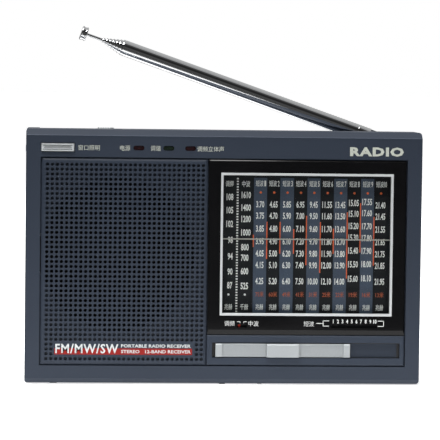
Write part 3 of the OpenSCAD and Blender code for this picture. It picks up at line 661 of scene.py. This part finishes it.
def raised(bm, place, side, shape, thick, sunk=0.0):
    """A flat shape of (right, up) points in mm, standing thick mm out of a surface and sunk mm into it."""
    right, up, out = side
    solid(bm, *([place + (right * x + up * y + out * d) * MM for x, y in shape] for d in (-sunk, thick)))


def bar(bm, place, side, width, height, thick=0.03):
    """A thin bar centred on place, sizes in mm."""
    w, h = width / 2, height / 2
    raised(bm, place, side, [(-w, -h), (w, -h), (w, h), (-w, h)], thick)


def dot(bm, place, side, radius, thick=0.03, count=20):
    raised(bm, place, side, [(c * radius, s * radius) for c, s in circle(count)], thick)


def chevron(bm, place, side, reach, tall):
    """A raised arrow head that points along the surface."""
    tip, notch, heel = reach, reach * 0.55, reach * -0.45
    shape = [(0, tall / 2), (tip, 0), (0, -tall / 2), (heel, -tall / 2), (notch, 0), (heel, tall / 2)]
    raised(bm, place, side, shape, 0.12, sunk=0.02)


def prism(bm, outline, x0, x1):
    """A closed bar along X. The outline is (d, z) points in mm."""
    solid(bm, *([at(x, d, z) for d, z in outline] for x in (x0, x1)))


# ---------- the perforated grille panel, in mm ----------

HOLE_PITCH = 1.835
HOLE_R = 0.645
HOLE_COLUMNS = 33
HOLE_ROWS = 41
# The first hole's distance from the panel's left and top edges
HOLE_INSET = (2.2, 2.4)
# The flat face ends this far from the panel's edges
FACE_INSET = 0.9
# The outer edge, from the flat face: distance from the panel's sides, and depth
EDGE = ((0.8, 0.03), (0.14, 0.38), (0.03, 0.46), (0, 0.56))
PANEL_THICK = 1.6
BLIND_DEEP = 1.1
LIP = 0.05
# Holes within this of the speaker's axis, at (x, z), go right through
SPEAKER = (-40.3, 49.2)
OPEN_R = 29
# No holes where the stripe and the lettering are
LABEL_ROWS = range(37, 40)
LABEL_COLUMNS = range(2, HOLE_COLUMNS - 2)
HOLE_POINTS = 16


def quarters(*stops):
    """Each stretch from stop to stop, cut into four."""
    return [a + (b - a) * k / 4 for a, b in zip(stops, stops[1:]) for k in range(4)]


def cell_outline(left, right, top, bottom):
    """Points round a cell, from its upper right corner, anticlockwise."""
    points = [(x, top) for x in quarters(right, left)] + [(left, z) for z in quarters(top, bottom)]
    return points + [(x, bottom) for x in quarters(left, right)] + [(right, z) for z in quarters(bottom, top)]


def hole_outline(x, z, r):
    """Points round a hole that match those round its cell."""
    angles = [math.radians(45 + 360 * k / HOLE_POINTS) for k in range(HOLE_POINTS)]
    return [(x + r * math.cos(a), z + r * math.sin(a)) for a in angles]


def make_grille():
    low, high = (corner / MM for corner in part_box("grille_panel"))
    x0, z0 = low.x + HOLE_INSET[0], high.z - HOLE_INSET[1]
    xs = [low.x + FACE_INSET] + [x0 + (c + 0.5) * HOLE_PITCH for c in range(HOLE_COLUMNS - 1)]
    xs.append(high.x - FACE_INSET)
    zs = [high.z - FACE_INSET] + [z0 - (r + 0.5) * HOLE_PITCH for r in range(HOLE_ROWS - 1)]
    zs.append(low.z + FACE_INSET)
    bm, ends = bmesh.new(), bmesh.new()
    shared = {}

    def ring(points, d):
        """Vertices at a depth, the same ones wherever two cells meet."""
        keys = [(round(x, 4), round(d, 4), round(z, 4)) for x, z in points]
        for key, (x, z) in zip(keys, points):
            if key not in shared:
                shared[key] = bm.verts.new(at(x, d, z))
        return [shared[key] for key in keys]

    for c in range(HOLE_COLUMNS):
        for r in range(HOLE_ROWS):
            cell = cell_outline(xs[c], xs[c + 1], zs[r], zs[r + 1])
            near, far = ring(cell, 0), ring(cell, PANEL_THICK)
            if r in LABEL_ROWS and c in LABEL_COLUMNS:
                bm.faces.new(near)
                bm.faces.new(far)
                continue
            x, z = x0 + c * HOLE_PITCH, z0 - r * HOLE_PITCH
            rings = [near, ring(hole_outline(x, z, HOLE_R + LIP), 0), ring(hole_outline(x, z, HOLE_R), LIP)]
            if math.hypot(x - SPEAKER[0], z - SPEAKER[1]) < OPEN_R:
                rings += [ring(hole_outline(x, z, HOLE_R), PANEL_THICK), far]
            else:
                rings.append(ring(hole_outline(x, z, HOLE_R - 0.04), BLIND_DEEP))
                # A darker disc closes the blind hole: painted shade at its end.
                dot(ends, at(x, BLIND_DEEP, z), FRONT, HOLE_R - 0.05, 0.1, 12)
                bm.faces.new(rings[-1])
                bm.faces.new(far)
            for a, b in zip(rings, rings[1:]):
                join_rings(bm, a, b)

    # The border: from the flat face out and down its slope, then straight back
    face = [(x, zs[0]) for x in quarters(*xs)] + [(xs[-1], z) for z in quarters(*zs)]
    face += [(x, zs[-1]) for x in quarters(*xs[::-1])] + [(xs[0], z) for z in quarters(*zs[::-1])]
    middle = (low + high) / 2
    half = (high - low) / 2
    flat_x, flat_z = (xs[-1] - xs[0]) / 2, (zs[0] - zs[-1]) / 2
    loops = [ring(face, 0)]
    for inset, d in (*EDGE, (0, PANEL_THICK)):
        kx, kz = (half.x - inset) / flat_x, (half.z - inset) / flat_z
        points = [(middle.x + (x - middle.x) * kx, middle.z + (z - middle.z) * kz) for x, z in face]
        loops.append(ring(points, d))
    loops.append(ring(face, PANEL_THICK))
    for a, b in zip(loops, loops[1:]):
        join_rings(bm, a, b)

    grille = piece("grille_face", bm, looks["grille_plastic"], "case", smooth=32)
    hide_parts("grille_panel")
    # The blind holes' end discs are the panel plastic made darker: painted shade in the holes.
    piece("grille_hole_shaded_ends", ends, moulded("grille_hole_painted_shade", shade(PANEL, 0.6), 0.6), "case")


make_grille()


# ---------- the dial's print, in mm from the case's upper left corner ----------

INK_WHITE = ink("ink_white", (0.93, 0.94, 0.88), patch=0.04)
INK_GREY = ink("ink_grey", (0.071, 0.094, 0.133), 0.55)
INK_RED = ink("ink_red", (0.95, 0.17, 0.045))
INK_ORANGE = ink("ink_orange", (0.5, 0.12, 0.045))
INK_SCARLET = ink("ink_scarlet", (0.27, 0.009, 0.006), 0.4)
INK_PALE = ink("ink_pale", (0.62, 0.65, 0.65), 0.4)

# The stripe behind every other short-wave band: left and right side
STRIPES = ((86.3, 91.3), (96.3, 101.5), (106.6, 111.6), (116.7, 121.8), (127.0, 132.0))
FM_SCALE = (("108", 24.9), ("105", 29.9), ("102", 35.1), ("98", 41.2), ("94", 47.4), ("90", 53.2),
            ("87", 58.4))
MW_SCALE = (("1610", 24.1), ("1400", 28.9), ("1200", 33.2), ("1000", 38.3), ("800", 43.9), ("700", 47.9),
            ("600", 53.0), ("525", 58.6))
# The short-wave bands: metres, and frequencies from the top
SW_BANDS = (
    ("75", "3.70 3.75 3.85 3.95 4.05 4.15 4.25"),
    ("60", "4.65 4.70 4.80 4.90 5.00 5.10 5.20"),
    ("49", "5.85 5.90 6.00 6.10 6.20 6.30 6.40"),
    ("41", "6.95 7.00 7.10 7.20 7.30 7.40 7.50"),
    ("31", "9.45 9.50 9.60 9.70 9.80 9.90 10.00"),
    ("25", "11.55 11.60 11.70 11.80 11.90 12.00 12.10"),
    ("22", "13.45 13.50 13.60 13.70 13.80 13.90 14.00"),
    ("19", "15.05 15.10 15.20 15.30 15.40 15.50 15.60"),
    ("16", "17.55 17.60 17.70 17.80 17.90 18.00 18.10"),
    ("13", "21.40 21.45 21.55 21.65 21.75 21.85 21.95"),
)
SW_FIRST = 88.9
SW_PITCH = 5.085
# The frequencies' heights, with two bands that have their own
SW_ROWS = (27.6, 31.9, 36.8, 41.6, 46.2, 50.6, 56.7)
SW_OWN_ROWS = {
    "19": (26.8, 30.9, 35.5, 39.9, 44.9, 50.1, 55.6),
    "16": (26.4, 30.6, 35.6, 40.1, 45.0, 50.0, 55.4),
}
# The red lines between the short-wave bands: place, top and bottom
RED_LINES = ((86.3, 39.2, 43.8), (91.4, 34.2, 48.3), (96.4, 34.2, 46.3), (101.6, 36.9, 46.3),
             (106.4, 31.8, 50.6), (111.7, 34.1, 53.5), (116.7, 36.6, 46.2), (121.9, 30.3, 55.6),
             (126.9, 26.8, 45.6), (132.1, 32.0, 50.6))
NAMES_Y = 19.7
UNITS_Y = 66.6
METRES_Y = 61.7
# The dotted line between the two columns on the left: place, top, bottom and pitch
DOTTED_X = 80.15
DOTTED_Y = (18.0, 68.9)
DOTTED_PITCH = 1.026


def on_card(x, y, lift=0.02):
    """A place on the dial card that shows x across and y down through the window, lift above the card."""
    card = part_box("dial_scale")[0].y / MM - lift
    px, pz = left_x / MM + x - 0.25, top_z / MM - y
    share = (card - front_y / MM) / (front_y - EYE.y) * MM
    px += (px - EYE.x / MM) * share
    pz += (pz - EYE.z / MM) * share
    return Vector((px * MM, card * MM, pz * MM))


def on_face(x, y, d=0.0):
    """A place on the front, d behind it."""
    return Vector((left_x + x * MM, front_y + d * MM, top_z - y * MM))


def write_scales(white):
    """The dotted line, and the FM and medium-wave scales on its two sides."""
    y = DOTTED_Y[0]
    while y < DOTTED_Y[1]:
        bar(white, on_card(DOTTED_X, y), FRONT, 0.72, 0.54)
        y += DOTTED_PITCH
    for scale, x, align in ((FM_SCALE, 78.55, 1), (MW_SCALE, 81.65, 0)):
        for text, y in scale:
            write(white, text, on_card(x, y), FRONT, 2.6, squeeze=0.58, align=align, weight=0.03)
    for text, x, y in (("调频", 77.1, 19.9), ("中波", 83.3, 19.9), ("兆赫", 77.1, UNITS_Y), ("千赫", 83.1, UNITS_Y)):
        write(white, text, on_card(x, y), FRONT, 2.3, width=3.05, weight=0.01)
    for x in (77.1, 83.3):
        dot(white, on_card(x, 61.9), FRONT, 0.42)


def write_short_waves(white, red, orange):
    for k, (metres, values) in enumerate(SW_BANDS):
        x = SW_FIRST + SW_PITCH * k
        for text, y in zip(values.split(), SW_OWN_ROWS.get(metres, SW_ROWS)):
            width = 3.05 if len(text) == 4 else 3.75
            write(white, text, on_card(x - 0.15, y), FRONT, 2.5, width=width, weight=0.024)
        write(white, "短波", on_card(x - 0.45, NAMES_Y), FRONT, 2.3, width=2.9, weight=0.01)
        number_w = 0.65 if k < 9 else 1.1
        write(white, str(k + 1), on_card(x + 1.65, NAMES_Y), FRONT, 2.2, width=number_w, weight=0.025)
        write(white, "兆赫", on_card(x, UNITS_Y), FRONT, 2.3, width=2.9, weight=0.01)
        dot(red, on_card(x, 23.1), FRONT, 0.45)
        write(orange, metres + "米", on_card(x, METRES_Y), FRONT, 2.1, width=3.1, weight=0.006)


def make_dial():
    grey, white, red, orange = (bmesh.new() for _ in range(4))
    for a, b in STRIPES:
        bar(grey, on_card((a + b) / 2, 43.3, 0), FRONT, b - a, 51.6, 0.02)
    write_scales(white)
    write_short_waves(white, red, orange)
    for x, a, b in RED_LINES:
        bar(red, on_card(x, (a + b) / 2), FRONT, 0.38, b - a)
    piece("dial_stripes", grey, INK_GREY, "case")
    piece("dial_numbers", white, INK_WHITE, "case")
    piece("dial_marks", red, INK_RED, "case")
    piece("dial_metres", orange, INK_ORANGE, "case")


make_dial()


# ---------- lettering on the front, in mm from the case's upper left corner ----------


def make_front_labels():
    labels = bmesh.new()
    for text, x0, x1, y in (("窗口照明", 19.6, 27.7, 6.85), ("电源", 35.3, 39.1, 6.85),
                            ("调谐", 46.8, 50.6, 6.85), ("调频立体声", 64.4, 74.5, 6.9)):
        write(labels, text, on_face((x0 + x1) / 2, y), FRONT, 2.0, width=x1 - x0)
    write(labels, "RADIO", on_face(132.6, 7.35), FRONT, 3.5, width=20.5, weight=0.045, gap=1.12, thick=0.05)
    piece("front_labels", labels, ink("ink_label", (0.52, 0.545, 0.48), 0.45), "case")


def make_grille_print():
    stripe = bmesh.new()
    bar(stripe, on_face(37.25, 83.8), FRONT, 52.1, 2.4, 0.02)
    piece("grille_stripe", stripe, INK_SCARLET, "case")
    words = bmesh.new()
    write(words, "FM/MW/SW", on_face(23.5, 82.75, -0.02), FRONT, 3.6, width=23.8, weight=0.02, gap=1.12,
          thick=0.05)
    write(words, "PORTABLE RADIO RECEIVER", on_face(49.6, 81.65), FRONT, 1.25, width=26.4, weight=0.025)
    write(words, "STEREO   12-BAND RECEIVER", on_face(49.6, 83.8, -0.02), FRONT, 1.25, width=26.4,
          weight=0.02)
    piece("grille_words", words, INK_PALE, "case")


def make_window_labels():
    """The band names and numbers under the dial, with brackets round the short-wave numbers."""
    labels = bmesh.new()
    for text, x in (("调频", 77.4), ("中波", 86.5), ("短波", 107.6)):
        write(labels, text, on_face(x, 72.9), FRONT, 2.0, width=3.9)
    lines = [(80.85, 72.2, 1.1, 0.22), (83.35, 72.2, 1.1, 0.22), (81.4, 72.45, 0.2, 0.6),
             (82.8, 72.45, 0.2, 0.6), (111.6, 72.7, 2.4, 0.25)]
    for x, inward in ((114.1, 1), (135.05, -1)):
        lines += [(x, 71.7, 2.4, 0.26), (x, 73.7, 2.4, 0.26), (x - inward * 1.07, 72.7, 0.26, 2.2)]
    for x, y, width, height in lines:
        bar(labels, on_face(x, y), FRONT, width, height)
    for k in range(10):
        write(labels, str(k + 1), on_face(116.9 + 1.77 * k, 71.9), FRONT, 1.5, squeeze=0.75, weight=0.03)
    piece("window_labels", labels, ink("ink_window", (0.68, 0.69, 0.68), 0.45), "case")


make_front_labels()
make_grille_print()
make_window_labels()


# ---------- the band slider, its indicator and the light button, in mm ----------

# The slider's raised grip, from side to side, and how wide its two end caps are
GRIP = (16.6, 28.8)
CAP_W = 2.45
RIB_PITCH = 0.5
RIB_W = 0.34
# The stem that goes through the slot: sides, bottom and top
STEM_X = (20.7, 24.7)
STEM_Z = (12.2, 14.2)
BUTTON_W = 12.0
BEAD_DROP = 2.28


def slider_cap(bm, x0, x1, z0, z1, front):
    """A block of the slider with a rounded top edge. A front below 0 stands proud of the case."""
    edge = 0.35
    outline = [(1.3, z0), (front + 0.22, z0), (front + 0.06, z0 + 0.06), (front, z0 + 0.2),
               (front, z1 - edge - 0.1), (front + 0.08, z1 - edge), (front + edge, z1 - 0.06),
               (front + edge + 0.1, z1), (1.3, z1)]
    prism(bm, outline, x0, x1)


def slider_ribs(bm, x0, x1, z0, z1):
    """A sunk stretch of the slider: its floor, a bead along its top and upright ribs below."""
    prism(bm, [(1.3, z0), (0.5, z0), (0.5, z1), (1.3, z1)], x0, x1)
    bead_z = z1 - 0.42
    bead = [(0.52, bead_z), (0.2, bead_z), (0.12, z1 - 0.3), (0.12, z1 - 0.05), (0.2, z1), (0.52, z1)]
    prism(bm, bead, x0 + 0.2, x1 - 0.2)
    rib = [(0.52, z0 + 0.05), (0.26, z0 + 0.1), (0.2, z0 + 0.2), (0.2, bead_z), (0.52, bead_z)]
    run = x1 - x0 - 0.6
    count = round(run / RIB_PITCH)
    for k in range(count):
        x = x0 + 0.3 + run * k / count
        prism(bm, rib, x, x + RIB_W)


def make_band_knob():
    low, high = (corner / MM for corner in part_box("band_knob"))
    height = (low.z, high.z)
    bm = bmesh.new()
    slider_cap(bm, low.x, low.x + CAP_W, *height, -0.25)
    slider_cap(bm, high.x - CAP_W, high.x, *height, -0.25)
    slider_cap(bm, *GRIP, *height, -1.5)
    slider_ribs(bm, low.x + CAP_W, GRIP[0], *height)
    slider_ribs(bm, GRIP[1], high.x - CAP_W, *height)
    prism(bm, [(5, STEM_Z[0]), (1.25, STEM_Z[0]), (1.25, STEM_Z[1]), (5, STEM_Z[1])], *STEM_X)
    knob = piece("band_slider_knob", bm, looks["silver_paint"], "band_slider")
    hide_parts("band_knob")


def make_indicator():
    """Red caps on the indicator strip, and the black card behind the strip."""
    caps = bmesh.new()
    for x in (6.2, 38.4):
        dot(caps, at(x, 2.1, 22.5), FRONT, 0.5, 0.35)
    piece("indicator_caps", caps, ink("indicator_red", (0.95, 0.06, 0.02), 0.4), "band_slider")
    mask = bmesh.new()
    bar(mask, at(32.5, 4.88, 22.5), FRONT, 59, 4.4, 0.25)
    piece("indicator_mask", mask, looks["dial_card"], "case")


def make_slot_painted_shadow():
    """A dark frame round the slot's floor, painted shadow along the slot's edges: left and right side, bottom
    and top of each of its bars.
    """
    shadow_bars = bmesh.new()
    for x0, x1, z0, z1 in ((-4.1, -2.6, 10.3, 16.1), (66.4, 67.4, 10.3, 16.1), (-2.6, 66.4, 15.72, 16.1),
                           (-2.6, 66.4, 10.3, 10.6)):
        bar(shadow_bars, at((x0 + x1) / 2, 1.58, (z0 + z1) / 2), FRONT, x1 - x0, z1 - z0, 0.1)
    # The black bars stand in for the shade along the slot's edges: painted shadow.
    piece("slot_painted_shadow", shadow_bars, looks["black_plastic"], "case")


def make_button_ridges():
    """The light button's raised rim, with fine dark lines inside it: painted shade for its grooves."""
    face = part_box("light_button")[0].y + 0.02 * MM
    middle = centre("light_button")

    def on_button(dx, dz):
        return Vector((middle.x + dx * MM, face, middle.z + dz * MM))

    lines = bmesh.new()
    # Dark bars along the button's grooves: painted shade.
    for dz, width in ((0.72, 11.0), (0.3, 9.6), (-0.14, 10.4), (-0.8, 11.0)):
        bar(lines, on_button(0, dz), FRONT, width, 0.14, 0.05)
    groove_shade_ink = ink("ink_groove_shade", (0.08, 0.085, 0.09), 0.5)
    piece("light_button_groove_shade", lines, groove_shade_ink, "light_button")
    rim = bmesh.new()
    bar(rim, on_button(0, -1.22), FRONT, BUTTON_W, 0.36, 0.24)
    bar(rim, on_button(0, 1.18), FRONT, BUTTON_W, 0.44, 0.24)
    for dx in (-5.8, 5.8):
        bar(rim, on_button(dx, -0.02), FRONT, 0.4, 2.1, 0.24)
    piece("light_button_ridges", rim, own_looks["light_button"], "light_button")


def make_top_highlight_bead():
    """A lighter bead under the bevel along the top of the front: a painted highlight for the bright line
    there.
    """
    z = top_z / MM - BEAD_DROP
    outline = [(0.4, z + 0.16), (0.0, z + 0.16), (-0.09, z + 0.09), (-0.12, z), (-0.09, z - 0.09),
               (0.0, z - 0.15), (0.4, z - 0.15)]
    bead = bmesh.new()
    prism(bead, outline, left_x / MM + 0.5, -left_x / MM - 0.5)
    # The bead's colour is the case's made lighter: painted highlight.
    piece("top_bead_painted_highlight", bead, moulded("bead", shade(CASE, 1.7)), "case", smooth=50)


make_band_knob()
make_indicator()
make_slot_painted_shadow()
make_button_ridges()
make_top_highlight_bead()


# ---------- the aerial's tubes, rod and tip ----------


PIVOT = at(61.5, 25.4, 92.9)


def lathe(profile, closed=False, count=48):
    """Turns (along, radius) points in mm round the aerial's axis. Along starts at the hinge pin."""
    tilt = math.radians(AERIAL_TILT)
    along = Vector((-math.cos(tilt), 0, math.sin(tilt)))
    side = Vector((math.sin(tilt), 0, math.cos(tilt)))
    out = Vector((0, 1, 0))
    bm = bmesh.new()
    rings = []
    for s, r in profile:
        turns = circle(count) if r else [(0, 0)]
        rings.append([bm.verts.new(PIVOT + (along * s + side * r * c + out * r * k) * MM) for c, k in turns])
    for a, b in zip(rings, rings[1:] + ([rings[0]] if closed else [])):
        join_rings(bm, a, b)
    return bm


def make_tube(k):
    """A tube with a groove and a rolled lip at its mouth."""
    r = (TUBE_D - TUBE_STEP * k) / 2
    inner = r - TUBE_WALL
    tail = FERRULE_END if k == 0 else FERRULE_END + 2.2 + 0.5 * k
    mouth = MOUTH + MOUTH_STEP * k
    profile = [(tail, inner), (tail, r - 0.05), (tail + 0.06, r), (mouth - 0.95, r), (mouth - 0.88, r - 0.1),
               (mouth - 0.66, r - 0.1), (mouth - 0.58, r), (mouth - 0.16, r), (mouth - 0.05, r - 0.04),
               (mouth, r - 0.13), (mouth - 0.04, r - 0.25), (mouth - 0.14, inner)]
    body = f"aerial_section_{k}" if k else "aerial_mast"
    tube = piece(f"tube_{k}", lathe(profile, closed=True), looks["chrome"], body, smooth=38)
    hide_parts(f"aerial_tube_{k}")


def make_tip():
    """The innermost rod and the button on its end. A groove runs round the button, and a rim round its top."""
    button = MOUTH + MOUTH_STEP * (TUBE_COUNT - 1) + 6.5
    rod = [(15.2, 0), (15.2, 0.6), (button - 0.2, 0.6)]
    shape = [(-0.2, 2.3), (-0.1, 2.5), (0.1, 2.7), (0.3, 2.74), (0.48, 2.7), (0.58, 2.5), (1.5, 2.5),
             (1.6, 2.7), (1.85, 2.74), (2.05, 2.68), (2.22, 2.45), (2.28, 2.2), (2.1, 1.95), (2.18, 0.9),
             (2.2, 0)]
    profile = rod + [(button + s, r) for s, r in shape]
    tip = piece("aerial_tip", lathe(profile), looks["chrome"], "aerial_section_7", smooth=38)
    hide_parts("aerial_rod")


for k in range(TUBE_COUNT):
    make_tube(k)
make_tip()


# ---------- lettering on the sides, top and back, in mm ----------

back = (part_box("rear_shell")[1].y - front_y) / MM


def make_side_print():
    labels = bmesh.new()
    left, right, top = left_x / MM, -left_x / MM, top_z / MM
    write(labels, "TUNING", at(right, 3.4, 68.5), RIGHT, 1.7, align=0)
    write(labels, "VOLUME", at(right, 3.4, 34.5), RIGHT, 1.7, align=0)
    # Rising bars under each word
    for z in (66.8, 32.8):
        for k, height in enumerate((0.5, 0.9, 1.3, 1.7)):
            bar(labels, at(right, 5.0 + k, z), RIGHT, 0.35, height)
    write(labels, "EARPHONE", at(left, 23.5, 38.0), LEFT, 1.6, squeeze=0.8)
    for text, d, z in (("DC 3V", 23.5, 23.0), ("DX", 7.0, 85.4), ("LOCAL", 13.6, 85.4)):
        write(labels, text, at(left, d, z), LEFT, 1.6)
    for text, x in (("OFF", -50.6), ("ON", -37.2)):
        write(labels, text, at(x, 10.8, top), TOP, 1.5)
    for text, z, height in (("FM 87-108 MHz", 78.5, 1.9), ("MW 525-1610 kHz", 74.9, 1.9),
                            ("SW 1-10  3.70-21.95 MHz", 71.3, 1.9), ("PORTABLE RADIO RECEIVER", 65.4, 1.6)):
        write(labels, text, at(30, back, z), BACK, height)
    bar(labels, at(30, back, 68.3), BACK, 38, 0.22)
    piece("side_labels", labels, ink("ink_side", (0.6, 0.62, 0.57), 0.45), "case")


def make_door_label():
    label = bmesh.new()
    write(label, "OPEN", at(52, back, 38.4), BACK, 1.9, squeeze=0.9)
    for k in range(3):
        chevron(label, at(46.2 - 2.2 * k, back, 38.4), BACK, -1.0, 2.0)
    piece("door_label", label, looks["case_plastic"], "battery_door")


make_side_print()
make_door_label()


# ---------- the scene ----------

make_camera()
make_floor()
make_world()
area_light("fill", (0.1, -1.3, 0.35), (0.9, 0.5), 2.2, shiny=False)
area_light("behind", (-0.4, 1.2, 0.8), (1.0, 0.7), 9, shiny=False)
area_light("key", (-0.35, -0.55, 1.5), (1.0, 0.7), 30)
bpy.context.scene.view_settings.view_transform = "Standard"
